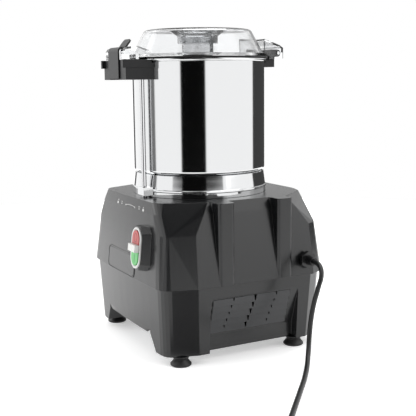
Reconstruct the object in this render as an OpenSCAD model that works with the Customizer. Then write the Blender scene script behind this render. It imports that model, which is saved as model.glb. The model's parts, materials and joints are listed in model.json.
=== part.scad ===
// Bench-top bowl cutter with a lift-off steel bowl and a clear hinged lid.
// The origin is on the floor under the bowl axis. The front panel faces -Y.

/* [Base shells] */
// Height of the top plate above the floor
top_z = 227; // [222:1:234]
// Height of the joint between the upper and the lower shell
part_z = 111; // [106:1:118]
// Height of the leg ends above the floor
leg_z = 14; // [12:1:18]
// Width of the top plate
top_w = 250; // [244:1:256]
// Width over the flared sides at the shell joint
part_w = 294; // [288:1:298]
// Width over the leg ends
leg_w = 282; // [278:1:286]
// Bowl axis to the front edge of the top plate
top_front = 120; // [118:1:124]
// Bowl axis to the front panel at the shell joint
part_front = 131; // [128:1:134]
// Bowl axis to the front of the leg ends
leg_front = 126; // [123:1:128]
// Bowl axis to the rear edge of the top plate
top_rear = 134.5; // [132:0.5:138]
// Bowl axis to the rear panel at the shell joint
part_rear = 145; // [142:1:148]
// Bowl axis to the rear of the leg ends
leg_rear = 139; // [136:1:142]
// Wall thickness of the moulded shells
wall = 3.5; // [3:0.1:4]

/* [Side ribs] */
// Width over the outer faces of the ribs
rib_span = 295; // [292:1:300]
// Width of one rib
rib_w = 25; // [20:1:28]
// Distance from the bowl axis to the front rib
rib_front_y = 33; // [28:1:38]
// Distance from the bowl axis to the rear rib
rib_rear_y = 62; // [56:1:66]

/* [Louvred side panels] */
// Height of the top edge of the side recess
recess_top_z = 94; // [88:1:98]
// Height of the lower edge of the louvred panel
recess_low_z = 36; // [32:1:40]
// Depth of the side recess at its lower edge
recess_d = 19; // [15:1:22]
// Bowl axis to the front end of the side recess
recess_front = 57; // [52:1:60]
// Bowl axis to the rear end of the side recess
recess_rear = 88; // [82:1:92]
// Number of louvres in one panel
louvres = 5; // [4:1:6]
// Thickness of one louvre
louvre_t = 1.8; // [1.4:0.1:2.2]

/* [Feet] */
// Bowl axis to a foot along X
foot_x = 122; // [119:1:123]
// Bowl axis to the front feet along Y
foot_front = 95; // [90:1:98]
// Bowl axis to the rear feet along Y
foot_rear = 93; // [88:1:98]
// Radius of the flared foot pad
foot_r = 15; // [12:0.5:16]

/* [Bowl] */
// Outer radius of the bowl
bowl_r = 100; // [97:1:101]
// Wall thickness of the bowl
bowl_t = 1.4; // [1:0.1:1.8]
// Height of the seam between the bowl and its skirt
seam_z = 260; // [256:1:264]
// Height of the centre of the rolled rim
rim_z = 423.5; // [410:0.5:430]
// Radius of the roll of the rim
rim_roll = 2.6; // [2:0.1:3]
// Outer radius of the chimney in the bowl
chimney_r = 17.5; // [16:0.1:18.5]
// Height of the chimney above the bowl floor
chimney_h = 52; // [45:1:58]

/* [Lid] */
// Height of the flat top of the lid
lid_top_z = 468; // [464:0.5:474]
// Radius of the flat top of the lid
lid_top_r = 79; // [76:1:84]
// Outer radius of the lid flange
flange_r = 105.5; // [103:0.5:107]
// Wall thickness of the lid
lid_t = 3; // [2.5:0.1:3.5]
// Radius of the feed opening in the lid
feed_r = 27.5; // [25:0.5:30]
// Radius at the mouth of the funnel round the feed opening
funnel_r = 42; // [38:1:46]

/* [Latch and interlock] */
// Width of the latch bracket
bracket_w = 84; // [80:1:88]
// Bowl axis to the front face of the latch bracket
bracket_front = 134; // [132:0.5:136]
// Height of the underside of the latch bracket
bracket_low_z = 396; // [390:1:400]
// Height of the top face of the latch bracket
bracket_top_z = 424; // [420:0.5:424.5]
// Width of the latch lever
lever_w = 38; // [34:1:42]
// Thickness of the latch lever
lever_t = 2.4; // [2:0.1:3]
// Radius of the interlock rod
rod_r = 3.5; // [3:0.1:4]
// Travel of the interlock rod
rod_travel = 6; // [4:0.5:7]

/* [Switch] */
// Bowl axis to the middle of the switch along X
switch_x = 70; // [64:1:74]
// Height of the middle of the switch
switch_z = 162.5; // [156:0.5:168]
// Width of the white switch bezel
bezel_w = 32; // [28:1:33]
// Height of the white switch bezel
bezel_h = 58; // [52:1:60]
// Bowl axis to the face of the raised switch surround
surround_front = 136; // [134:0.5:138]
// Travel of a push button
button_travel = 3; // [2:0.5:3.5]

/* [Knife] */
// Radius swept by the blades
blade_r = 94; // [88:1:96]
// Thickness of a blade
blade_t = 2; // [1.5:0.1:2.5]
// Radius of the knife hub
hub_r = 22.5; // [21.5:0.5:25]

/* [Motor] */
// Radius of the motor shaft
shaft_r = 9; // [8:0.5:10]
// Radius of the rotor core
rotor_r = 30; // [27:1:32]
// Inner radius of the motor can
can_r = 56; // [54:1:60]
// Length of the rotor core
rotor_h = 70; // [60:1:76]

/* [Mains lead] */
// Outer diameter of the mains cord
cord_d = 7; // [6:0.5:7]
// Bowl axis to the cord gland along Y
gland_y = 99; // [96:1:102]
// Height of the cord gland
gland_z = 134; // [130:1:138]

/* [Hidden] */

// Resolutions of round forms
fn_big = 120;
fn_mid = 64;
fn_small = 32;
fn_hull = 32;
// One overrun for every cut
over = 1;
// Clearance of a seat, of a loose part and of a running fit
seat_gap = 0.3;
loose_gap = 0.6;
fit_gap = 0.05;

// Colours of the moulded shells, steel, clear plastic, rubber and copper
c_shell = [0.25, 0.25, 0.26];
c_dark = [0.08, 0.08, 0.09];
c_steel = [0.8, 0.81, 0.83];
c_clear = [0.85, 0.88, 0.9, 0.45];
c_rubber = [0.05, 0.05, 0.05];
c_copper = [0.75, 0.42, 0.2];
c_alu = [0.68, 0.69, 0.7];

// Shares of half width and depth that place the corners of the shell outline:
// front round from, through, to, front edge of the side, then the same at the rear
top_shares = [[0.66, 0.985], [0.75, 0.96], [0.80, 0.90], [1, 0.43], [1, 0.57], [0.70, 0.92], [0.55, 0.985], [0.42, 0.995]];
band_shares = [[0.72, 0.98], [0.81, 0.96], [0.845, 0.90], [1, 0.49], [1, 0.66], [0.78, 0.89], [0.73, 0.95], [0.60, 0.965]];
waist_shares = [[0.80, 0.975], [0.915, 0.955], [0.945, 0.90], [1, 0.60], [1, 0.80], [0.96, 0.86], [0.935, 0.935], [0.80, 0.98]];
part_shares = [[0.79, 0.98], [0.91, 0.97], [0.928, 0.88], [1, 0.60], [1, 0.77], [0.945, 0.845], [0.92, 0.955], [0.78, 0.985]];
// Steps of each rounded stretch of the outline
round_steps = 4;
// Height, half width, front and rear of the outlines between the top plate and the joint
band_z = top_z - 16;
band_share = 0.22;
waist_z = top_z - 43;
waist_share = 0.42;
function between(a, b, share) = a + (b - a) * share;
function bez(a, b, c) =
    [for (i = [1:round_steps]) let (t = i / round_steps)
        a * (1 - t) * (1 - t) + b * 2 * t * (1 - t) + c * t * t];
function at(s, w, d) = [s[0] * w, s[1] * d];
function half_outline(w, f, r, s) = concat(
    [[0, -f]],
    bez([0, -f], [s[0][0] * w / 2, -f], at(s[0], w, -f)),
    bez(at(s[0], w, -f), at(s[1], w, -f), at(s[2], w, -f)),
    [at(s[3], w, -f), at(s[4], w, r), at(s[5], w, r)],
    bez(at(s[5], w, r), at(s[6], w, r), at(s[7], w, r)),
    [[0, r]]);
function outline(w, f, r, s) =
    let (h = half_outline(w, f, r, s))
    concat(h, [for (i = [len(h) - 2:-1:1]) [-h[i][0], h[i][1]]]);

// Thickness of the thin layers that the shell skins are stretched over
layer = 0.2;
module layer_at(z, w, f, r, s, inset) {
    translate([0, 0, z])
        linear_extrude(layer)
            polygon(outline(w - inset, f - inset, r - inset, s));
}

// Solid skin of the upper shell, drawn in by an inset, from one height to another
module upper_skin(inset, low, high) {
    hull() {
        layer_at(low, part_w / 2, part_front, part_rear, part_shares, inset);
        layer_at(waist_z, between(top_w, part_w, waist_share) / 2,
            between(top_front, part_front, waist_share),
            between(top_rear, part_rear, waist_share), waist_shares, inset);
        layer_at(band_z, between(top_w, part_w, band_share) / 2,
            between(top_front, part_front, band_share),
            between(top_rear, part_rear, band_share), band_shares, inset);
        layer_at(high - layer, top_w / 2, top_front, top_rear, top_shares, inset);
    }
}

// Solid skin of the lower shell
module lower_skin(inset, low, high) {
    hull() {
        layer_at(low, leg_w / 2, leg_front, leg_rear, part_shares, inset);
        layer_at(high - layer, part_w / 2, part_front, part_rear, part_shares, inset);
    }
}

// Plan of one rib: a nose with rounded corners and filleted roots
rib_nose_r = 5;
rib_root_r = 5;
rib_root_x = top_w / 2 - 8;
module rib_plan() {
    difference() {
        union() {
            translate([rib_root_x, -rib_w / 2])
                square([rib_span / 2 - rib_nose_r - rib_root_x, rib_w]);
            translate([rib_root_x, rib_nose_r - rib_w / 2])
                square([rib_span / 2 - rib_root_x, rib_w - 2 * rib_nose_r]);
            for (side = [-1, 1])
                translate([rib_span / 2 - rib_nose_r, side * (rib_w / 2 - rib_nose_r)])
                    circle(r = rib_nose_r, $fn = fn_small);
            translate([rib_root_x, -rib_w / 2 - rib_root_r])
                square([top_w / 2 + rib_root_r - rib_root_x, rib_w + 2 * rib_root_r]);
        }
        for (side = [-1, 1])
            translate([top_w / 2 + rib_root_r, side * (rib_w / 2 + rib_root_r)])
                circle(r = rib_root_r, $fn = fn_small);
    }
}
module ribs() {
    for (side = [0, 1], y = [-rib_front_y, rib_rear_y])
        mirror([side, 0, 0])
            translate([0, y, part_z])
                linear_extrude(top_z - part_z)
                    rib_plan();
}

// A rounded slot shape, upright, of a width and a height
module racetrack(w, h) {
    for (side = [-1, 1])
        translate([0, side * (h - w) / 2])
            circle(d = w, $fn = fn_mid);
    square([w, h - w], center = true);
}
// Extrusion along the front axis from one distance to another, both from the bowl axis
module toward_front(from, to) {
    translate([0, -from, 0])
        rotate([90, 0, 0])
            linear_extrude(to - from)
                children();
}

// The switch surround stands out of the front panel, square to its lean
surround_rim = 1.5;
surround_flare = 7;
surround_cut = 9;
surround_bore_w = bezel_w - 6;
surround_bore_h = bezel_h - 6;
surround_depth = 16;
// The panel leans out towards the floor by this share of its height
panel_lean = (part_front - top_front) / (top_z - part_z);
module at_switch() {
    translate([switch_x, -surround_front, switch_z])
        rotate([-atan(panel_lean), 0, 0])
            translate([0, surround_front, 0])
                children();
}
module octagon(w, h) {
    polygon([for (i = [0:7]) let (x = i < 4 ? 1 : -1, y = i > 1 && i < 6 ? 1 : -1, side = i % 4 == 1 || i % 4 == 2)
        [x * (side ? w / 2 : w / 2 - surround_cut), y * (side ? h / 2 - surround_cut : h / 2)]]);
}
module switch_surround() {
    at_switch()
        hull() {
            toward_front(surround_front - layer, surround_front)
                octagon(bezel_w + 2 * surround_rim, bezel_h + 2 * surround_rim);
            toward_front(surround_front - surround_depth, surround_front - surround_depth + layer)
                octagon(bezel_w + 2 * surround_rim + 2 * surround_flare, bezel_h + 3 * surround_rim);
        }
}
module switch_bore() {
    at_switch()
        toward_front(surround_front - surround_depth - over, surround_front + over)
            racetrack(surround_bore_w, surround_bore_h);
}

// The interlock rod stands just outside the bowl, to the right of the latch
rod_x = 27.5;
rod_y = -104.2;
rod_foot_z = top_z - 8;
rod_hole_r = rod_r + 1;

// Openings of the top plate
flange_hub_r = 28;
flange_r_out = 70;
flange_t = 10;
flange_bolt_pcr = 60;
flange_bolt_r = 2.6;
flange_bolts = 4;
flange_bolt_turn = 45;

gland_hole_r = 8;

module at_flange_bolts() {
    for (i = [0:flange_bolts - 1])
        rotate([0, 0, flange_bolt_turn + 360 * i / flange_bolts])
            translate([flange_bolt_pcr, 0, 0])
                children();
}

module upper_housing() {
    color(c_shell)
        difference() {
            union() {
                upper_skin(0, part_z, top_z);
                ribs();
                switch_surround();
            }
            upper_skin(wall, part_z - over, top_z - wall);
            switch_bore();
            translate([0, 0, top_z - wall - over])
                cylinder(r = flange_hub_r + seat_gap, h = wall + 2 * over, $fn = fn_mid);
            translate([rod_x, rod_y, top_z - wall - over])
                cylinder(r = rod_hole_r, h = wall + 2 * over, $fn = fn_small);
            translate([0, 0, top_z - wall - over])
                at_flange_bolts()
                    cylinder(r = flange_bolt_r, h = wall + 2 * over, $fn = fn_small);
            translate([part_w / 2 - recess_d, gland_y, gland_z])
                rotate([0, 90, 0])
                    cylinder(r = gland_hole_r, h = recess_d + wall, $fn = fn_small);
        }
}

// Lower shell: legs, arches and recesses
lip_h = 5;
lip_t = 2.5;
lip_gap = 0.2;
lip_draft = 1.1;
arch_z = leg_z + 24;
floor_z = arch_z + 6;
arch_shares = [[1, 0], [0.93, 0.45], [0.84, 1]];
arch_w = 188;
window_w = 126;
window_front = 84;
window_rear = 96;
foot_hole_r = 2.6;
recess_x = part_w / 2 - recess_d - lip_gap - wall;
recess_round = 9;
function leg_half(z) = between(leg_w, part_w, (z - leg_z) / (part_z - leg_z)) / 2;

// Profile of the side recess, seen along Y, grown inwards by an amount
module recess_profile(grow) {
    top_x = leg_half(recess_top_z) - wall;
    polygon([[part_w, recess_top_z + grow], [top_x - grow / 2, recess_top_z + grow],
        [recess_x - grow, recess_low_z], [recess_x - grow, -over], [part_w, -over]]);
}
module recess_face(grow) {
    low = -recess_front - grow;
    wide = recess_rear + recess_front + 2 * grow;
    translate([low, -over])
        square([wide, recess_top_z - recess_round + over]);
    translate([low + recess_round, -over])
        square([wide - 2 * recess_round, recess_top_z + grow + over]);
    for (x = [low + recess_round, low + wide - recess_round])
        translate([x, recess_top_z + grow - recess_round])
            circle(r = recess_round, $fn = fn_small);
}
module side_recess(grow) {
    intersection() {
        translate([0, recess_rear + grow + over, 0])
            rotate([90, 0, 0])
                linear_extrude(recess_rear + recess_front + 2 * grow + 2 * over)
                    recess_profile(grow);
        rotate([90, 0, 90])
            linear_extrude(part_w)
                recess_face(grow);
    }
}
module both_recesses(grow) {
    side_recess(grow);
    mirror([1, 0, 0])
        side_recess(grow);
}
module arch_profile() {
    polygon(concat(
        [for (i = [0:len(arch_shares) - 1])
            [-arch_w / 2 * arch_shares[i][0],
                between(leg_z - (i == 0 ? over : 0), arch_z, arch_shares[i][1])]],
        [for (i = [len(arch_shares) - 1:-1:0])
            [arch_w / 2 * arch_shares[i][0],
                between(leg_z - (i == 0 ? over : 0), arch_z, arch_shares[i][1])]]));
}
under_w = arch_w * arch_shares[2][0];
module under_space(grow, wide) {
    translate([-wide / 2 - grow, -leg_front + wall - grow, -over])
        cube([wide + 2 * grow, leg_front + leg_rear - 2 * wall + 2 * grow, floor_z + grow + over]);
}
// The louvred panel closes a slanted window in the recess
panel_rise = recess_top_z - recess_low_z;
panel_run = leg_half(recess_top_z) - wall - recess_x;
panel_len = sqrt(panel_rise * panel_rise + panel_run * panel_run);
panel_tilt = atan(panel_run / panel_rise);
panel_front = recess_front - 4;
panel_rear = recess_rear - 14;
panel_margin = 3;
module in_panel_frame() {
    translate([recess_x, 0, recess_low_z])
        rotate([0, panel_tilt, 0])
            children();
}
module vent_window() {
    in_panel_frame()
        translate([-2 * wall, -panel_front, panel_margin])
            cube([4 * wall, panel_front + panel_rear, panel_len - 2 * panel_margin]);
}
module at_feet() {
    for (side = [-1, 1], y = [-foot_front, foot_rear])
        translate([side * foot_x, y, 0])
            children();
}

module lower_housing() {
    color(c_shell)
        difference() {
            union() {
                difference() {
                    lower_skin(wall + lip_gap, leg_z, part_z);
                    both_recesses(0);
                    translate([0, leg_rear + part_rear, 0])
                        rotate([90, 0, 0])
                            linear_extrude(2 * (leg_rear + part_rear))
                                arch_profile();
                    under_space(0, under_w);
                    difference() {
                        lower_skin(2 * wall + lip_gap, leg_z + wall, part_z + over);
                        both_recesses(wall);
                        under_space(wall, arch_w);
                    }
                    translate([-window_w / 2, -window_front, floor_z - over])
                        cube([window_w, window_front + window_rear, wall + 2 * over]);
                    vent_window();
                    mirror([1, 0, 0])
                        vent_window();
                }
                translate([0, 0, part_z - wall])
                    linear_extrude(wall + lip_h)
                        difference() {
                            polygon(outline(part_w / 2 - wall - lip_gap - lip_draft,
                                part_front - wall - lip_gap - lip_draft,
                                part_rear - wall - lip_gap - lip_draft, part_shares));
                            polygon(outline(part_w / 2 - wall - lip_gap - lip_draft - lip_t,
                                part_front - wall - lip_gap - lip_draft - lip_t,
                                part_rear - wall - lip_gap - lip_draft - lip_t, part_shares));
                        }
            }
            at_feet()
                translate([0, 0, leg_z - over])
                    cylinder(r = foot_hole_r, h = foot_screw_up + 2 * over, $fn = fn_small);
        }
}

// Sheet-steel plate that closes the underside
plate_t = 2;
plate_lap = 8;
module base_plate() {
    color(c_alu)
        translate([-window_w / 2 - plate_lap, -window_front - plate_lap, floor_z - plate_t])
            cube([window_w + 2 * plate_lap, window_front + window_rear + 2 * plate_lap, plate_t]);
}

// Louvred panel: slats split by tapered notches, with bars behind
panel_gap = 0.4;
louvre_lip = 2.6;
louvre_slot = 1.1;
bar_w = 3;
bar_t = 3;
notch_big_w = 4.5;
notch_big_h = 8;
notch_small_w = 2.8;
notch_small_h = 4.5;
notch_taper_share = 0.3;
notch_shift = 2.3;
frame_w = 3.5;
notch_shares = [0.26, 0.54, 0.82];
bar_shares = [0.13, 0.40, 0.68, 0.93];
panel_wide = panel_front + panel_rear - 2 * panel_gap;
louvre_high = panel_len - 2 * panel_margin - 2 * panel_gap;
louvre_pitch = louvre_high / louvres;
module notch(w, h) {
    rotate([90, 0, 90])
        translate([0, 0, -2 * louvre_lip])
            linear_extrude(4 * louvre_lip + louvre_t)
                polygon([[-w / 2, h / 2], [w / 2, h / 2], [w / 2 * notch_taper_share, -h / 2],
                    [-w / 2 * notch_taper_share, -h / 2]]);
}
module vent_panel() {
    color(c_shell)
        in_panel_frame()
            translate([0, -panel_front + panel_gap, panel_margin + panel_gap])
                difference() {
                    union() {
                        for (i = [0:louvres - 1])
                            translate([0, panel_wide, i * louvre_pitch])
                                rotate([90, 0, 0])
                                    linear_extrude(panel_wide)
                                        polygon([[-louvre_t, louvre_pitch], [0, louvre_pitch],
                                            [louvre_lip, louvre_slot], [louvre_lip - louvre_t, louvre_slot]]);
                        for (share = bar_shares)
                            translate([-louvre_t - bar_t, panel_wide * share - bar_w / 2, 0])
                                cube([bar_t + louvre_t / 2, bar_w, louvre_high]);
                        for (y = [0, panel_wide - frame_w])
                            translate([-louvre_t - bar_t, y, 0])
                                cube([bar_t + louvre_t, frame_w, louvre_high]);
                    }
                    for (i = [0:louvres - 1], k = [0:len(notch_shares) - 1])
                        translate([0, panel_wide * notch_shares[k] - notch_shift * (louvres - 1 - i),
                            louvre_pitch * (i + 1) - (k == 1 ? notch_big_h : notch_small_h) / 2])
                            notch(k == 1 ? notch_big_w : notch_small_w,
                                (k == 1 ? notch_big_h : notch_small_h));
                }
}
module vent_panel_right() {
    vent_panel();
}
module vent_panel_left() {
    mirror([1, 0, 0])
        vent_panel();
}

// Turned rubber foot with a flared pad and a waist, and its screw
foot_pad_h = 4;
foot_waist_r = 10;
foot_waist_z = 9;
foot_top_r = 12.5;
foot_bead = 1;
foot_head_r = 5;
foot_head_z = 6;
foot_screw_up = 12;
module foot() {
    color(c_rubber)
        rotate_extrude($fn = fn_mid)
            polygon([[foot_head_r + seat_gap, 0], [foot_r - foot_bead, 0], [foot_r, foot_bead],
                [foot_r, foot_pad_h - foot_bead], [foot_r - foot_bead, foot_pad_h],
                [foot_waist_r, foot_waist_z], [foot_top_r, leg_z - foot_bead], [foot_top_r, leg_z],
                [foot_hole_r, leg_z], [foot_hole_r, foot_head_z], [foot_head_r + seat_gap, foot_head_z]]);
}
module foot_front_left() {
    translate([-foot_x, -foot_front, 0])
        foot();
}
module foot_front_right() {
    translate([foot_x, -foot_front, 0])
        foot();
}
module foot_rear_left() {
    translate([-foot_x, foot_rear, 0])
        foot();
}
module foot_rear_right() {
    translate([foot_x, foot_rear, 0])
        foot();
}
foot_head_h = 3;
module foot_screws() {
    color(c_steel)
        at_feet() {
            translate([0, 0, foot_head_z - foot_head_h])
                cylinder(r = foot_head_r, h = foot_head_h, $fn = fn_small);
            translate([0, 0, foot_head_z - foot_head_h])
                cylinder(r = foot_hole_r - fit_gap, h = leg_z + foot_screw_up - foot_head_z, $fn = fn_small);
        }
}

// Cast seat on the top plate, inside the skirt of the bowl
seat_r = 88;
seat_t = 6;
seat_boss_r = 30;
seat_boss_h = 22;
seal_r = 16;
seal_h = 6;
seat_lugs = 3;
seat_lug_reach = 6;
seat_lug_w = 22;
seat_lug_turn = 30;
lug_root_share = 0.8;
shaft_room = 3;
module seat_plan() {
    difference() {
        union() {
            circle(r = seat_r, $fn = fn_big);
            for (i = [0:seat_lugs - 1])
                intersection() {
                    circle(r = seat_r + seat_lug_reach, $fn = fn_big);
                    rotate(seat_lug_turn + 360 * i / seat_lugs)
                        translate([seat_r * lug_root_share, -seat_lug_w / 2])
                            square([seat_r, seat_lug_w]);
                }
        }
        at_flange_bolts()
            circle(r = flange_bolt_r, $fn = fn_small);
    }
}
module bowl_seat() {
    color(c_alu)
        translate([0, 0, top_z])
            difference() {
                union() {
                    linear_extrude(seat_t)
                        seat_plan();
                    translate([0, 0, seat_t / 2])
                        cylinder(r = seat_boss_r, h = seat_boss_h - seat_t / 2, $fn = fn_mid);
                }
                translate([0, 0, -over])
                    cylinder(r = shaft_r + shaft_room, h = seat_boss_h + 2 * over, $fn = fn_mid);
                translate([0, 0, seat_boss_h - seal_h])
                    cylinder(r = seal_r, h = seal_h + over, $fn = fn_mid);
            }
}
module shaft_seal() {
    color(c_rubber)
        translate([0, 0, top_z + seat_boss_h - seal_h])
            difference() {
                cylinder(r = seal_r - fit_gap, h = seal_h, $fn = fn_mid);
                translate([0, 0, -over])
                    cylinder(r = shaft_r + fit_gap, h = seal_h + 2 * over, $fn = fn_mid);
            }
}

// Motor: flange under the top plate, can, stator, bearings and lower end bell
bearing_r = 20;
bearing_h = 12;
flange_top_z = top_z - wall;
flange_low_z = flange_top_z - flange_t;
bearing_boss_r = 26;
bearing_boss_h = 6;
bell_z = 84;
bell_t = 8;
bell_r = 69;
can_t = 2.5;
tie_r = 2.5;
tie_pcr = 63.5;
tie_end = 4;
module motor_flange() {
    color(c_alu)
        difference() {
            union() {
                translate([0, 0, flange_low_z])
                    cylinder(r = flange_r_out, h = flange_t, $fn = fn_big);
                translate([0, 0, flange_low_z])
                    cylinder(r = flange_hub_r, h = top_z - flange_low_z, $fn = fn_mid);
                translate([0, 0, flange_low_z - bearing_boss_h])
                    cylinder(r = bearing_boss_r, h = bearing_boss_h, $fn = fn_mid);
            }
            translate([0, 0, flange_low_z - bearing_boss_h - over])
                cylinder(r = bearing_r + fit_gap, h = bearing_h + over, $fn = fn_mid);
            translate([0, 0, flange_low_z - over])
                cylinder(r = shaft_r + shaft_room, h = top_z - flange_low_z + 2 * over, $fn = fn_mid);
            translate([0, 0, flange_low_z - over])
                at_flange_bolts()
                    cylinder(r = flange_bolt_r, h = flange_t + 2 * over, $fn = fn_small);
        }
}
flange_head_r = 5;
flange_head_h = 4;
module flange_screws() {
    color(c_steel)
        at_flange_bolts() {
            translate([0, 0, flange_low_z])
                cylinder(r = flange_bolt_r - fit_gap, h = top_z + seat_t - flange_low_z, $fn = fn_small);
            translate([0, 0, top_z + seat_t])
                cylinder(r = flange_head_r, h = flange_head_h, $fn = fn_small);
        }
}
module ring(r_in, r_out, low, h, fn) {
    translate([0, 0, low])
        difference() {
            cylinder(r = r_out, h = h, $fn = fn);
            translate([0, 0, -over])
                cylinder(r = r_in, h = h + 2 * over, $fn = fn);
        }
}
module motor_can() {
    color(c_shell)
        ring(can_r, can_r + can_t, bell_z + bell_t, flange_low_z - bell_z - bell_t, fn_big);
}
rotor_low_z = 112;
air_gap = 0.6;
module stator_core() {
    color(c_steel)
        ring(rotor_r + air_gap, can_r - fit_gap, rotor_low_z, rotor_h, fn_big);
}
winding_in = 5;
winding_out = 5;
winding_h = 13;
module stator_windings() {
    color(c_copper)
        for (z = [rotor_low_z - winding_h, rotor_low_z + rotor_h])
            ring(rotor_r + winding_in, can_r - winding_out, z, winding_h, fn_mid);
}
module at_tie_rods() {
    for (i = [0:3])
        rotate([0, 0, 90 * i])
            translate([tie_pcr, 0, 0])
                children();
}
module lower_end_bell() {
    color(c_alu)
        difference() {
            union() {
                translate([0, 0, bell_z])
                    cylinder(r = bell_r, h = bell_t, $fn = fn_big);
                translate([0, 0, bell_z])
                    cylinder(r = bearing_boss_r, h = bearing_h + bell_t / 4, $fn = fn_mid);
            }
            translate([0, 0, bell_z + bell_t / 4])
                cylinder(r = bearing_r + fit_gap, h = bearing_h + bell_t, $fn = fn_mid);
            translate([0, 0, bell_z - over])
                cylinder(r = shaft_r + shaft_room, h = bearing_h + bell_t, $fn = fn_mid);
            translate([0, 0, bell_z - over])
                at_tie_rods()
                    cylinder(r = tie_r + fit_gap, h = bell_t + 2 * over, $fn = fn_small);
        }
}
tie_head_r = 4.5;
module tie_rods() {
    color(c_steel)
        at_tie_rods() {
            translate([0, 0, bell_z - tie_end])
                cylinder(r = tie_r, h = flange_low_z - bell_z + tie_end, $fn = fn_small);
            translate([0, 0, bell_z - tie_end])
                cylinder(r = tie_head_r, h = tie_end, $fn = fn_small);
        }
}
module upper_bearing() {
    color(c_steel)
        ring(shaft_r + fit_gap, bearing_r, flange_low_z - bearing_boss_h, bearing_h, fn_mid);
}
module lower_bearing() {
    color(c_steel)
        ring(shaft_r + fit_gap, bearing_r, bell_z + bell_t / 4, bearing_h, fn_mid);
}

// Shaft with a flatted drive end, rotor core and cooling fan
shaft_low_z = 62;
drive_r = 7;
drive_flat = 5;
drive_h = 18;
hub_floor_gap = 4;
bowl_floor_z = seam_z + 3;
drive_z = bowl_floor_z + chimney_h + hub_floor_gap;
module drive_plan(grow) {
    intersection() {
        circle(r = drive_r + grow, $fn = fn_mid);
        square([2 * (drive_flat + grow), 3 * drive_r], center = true);
    }
}
module motor_shaft() {
    color(c_steel) {
        translate([0, 0, shaft_low_z])
            cylinder(r = shaft_r, h = drive_z - shaft_low_z, $fn = fn_mid);
        translate([0, 0, drive_z])
            linear_extrude(drive_h)
                drive_plan(0);
    }
}
module rotor_core() {
    color(c_steel)
        ring(shaft_r + fit_gap, rotor_r, rotor_low_z, rotor_h, fn_big);
}
fan_r = 48;
fan_hub_r = 15;
fan_h = 12;
fan_disc_t = 2;
fan_blades = 9;
fan_blade_t = 2;
fan_low_z = 66;
blade_root_share = 0.8;
module cooling_fan() {
    color(c_dark)
        translate([0, 0, fan_low_z])
            difference() {
                union() {
                    cylinder(r = fan_r, h = fan_disc_t, $fn = fn_big);
                    translate([0, 0, fan_disc_t / 2])
                        linear_extrude(fan_h - fan_disc_t / 2) {
                            circle(r = fan_hub_r, $fn = fn_mid);
                            for (i = [0:fan_blades - 1])
                                rotate(360 * i / fan_blades)
                                    translate([fan_hub_r * blade_root_share, -fan_blade_t / 2])
                                        square([fan_r - fan_hub_r, fan_blade_t]);
                        }
                }
                translate([0, 0, -over])
                    cylinder(r = shaft_r + fit_gap, h = fan_h + 2 * over, $fn = fn_mid);
            }
}

// Electrical parts
cap_r = 15;
cap_h = 62;
cap_x = -50;
cap_y = -101;
cap_tab_w = 6;
cap_tab_t = 1;
inner_floor_z = floor_z + wall;
module run_capacitor() {
    color(c_dark)
        translate([cap_x, cap_y, inner_floor_z]) {
            cylinder(r = cap_r, h = cap_h, $fn = fn_mid);
            for (side = [-1, 1])
                translate([-cap_tab_w / 2, side * cap_r / 2 - cap_tab_t / 2, cap_h])
                    cube([cap_tab_w, cap_tab_t, 2 * cap_tab_w]);
        }
}
box_l = 84;
box_w = 24;
box_h = 60;
box_y = 112;
module control_box() {
    color(c_dark)
        translate([-box_l / 2, box_y - box_w / 2, inner_floor_z]) {
            cube([box_l, box_w, box_h]);
            translate([wall, wall, box_h])
                cube([box_l - 2 * wall, box_w - 2 * wall, wall]);
        }
}
micro_l = 22;
micro_w = 14;
micro_h = 16;
micro_arm_t = 1.2;
micro_arm_l = 16;
micro_gap = 6;
module microswitch() {
    color(c_dark)
        translate([rod_x + micro_gap, rod_y - micro_w / 2, flange_top_z - micro_h])
            cube([micro_l, micro_w, micro_h]);
    color(c_steel)
        translate([rod_x + micro_gap + over - micro_arm_l, rod_y - micro_w / 4,
            rod_foot_z - loose_gap - micro_arm_t])
            cube([micro_arm_l, micro_w / 2, micro_arm_t]);
}

// Switch: contact block, bezel, lamp and two buttons
bezel_t = 2;
bezel_rim = 3;
bezel_lap = 6;
divider_h = 10;
button_gap = 0.3;
button_t = 5;
button_proud = 0.8;
lamp_proud = 6.5;
block_w = 20;
block_h = 36;
block_depth = 40;
bezel_front = surround_front + bezel_t;
bezel_back = surround_front - bezel_lap;
window_in_w = bezel_w - 2 * bezel_rim;
window_in_h = bezel_h - 2 * bezel_rim;
module switch_bezel() {
    color("white")
        at_switch()
            difference() {
                union() {
                    toward_front(surround_front, bezel_front)
                        racetrack(bezel_w, bezel_h);
                    toward_front(bezel_back, surround_front)
                        racetrack(surround_bore_w - button_gap, surround_bore_h - button_gap);
                }
                toward_front(bezel_back - over, bezel_front + over)
                    racetrack(window_in_w - 2, window_in_h - 2);
                toward_front(surround_front + bezel_t / 2, bezel_front + over)
                    racetrack(window_in_w, window_in_h);
            }
}
module button_plan(side) {
    intersection() {
        racetrack(window_in_w - 2 - 2 * button_gap, window_in_h - 2 - 2 * button_gap);
        translate([-bezel_w, side > 0 ? divider_h / 2 + button_gap : -bezel_h - divider_h / 2 - button_gap])
            square([2 * bezel_w, bezel_h]);
    }
}
module push_button(side) {
    at_switch()
        toward_front(bezel_front + button_proud - button_t, bezel_front + button_proud)
            button_plan(side);
}
module stop_button() {
    color("red")
        push_button(1);
}
module start_button() {
    color("green")
        push_button(-1);
}
module pilot_lamp() {
    color("white")
        at_switch()
            toward_front(bezel_back, bezel_front + lamp_proud)
                square([window_in_w - 2 - 2 * fit_gap, divider_h], center = true);
}
module switch_block() {
    color(c_dark)
        at_switch()
            toward_front(bezel_back - block_depth, bezel_back)
                square([block_w, block_h], center = true);
}

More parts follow.
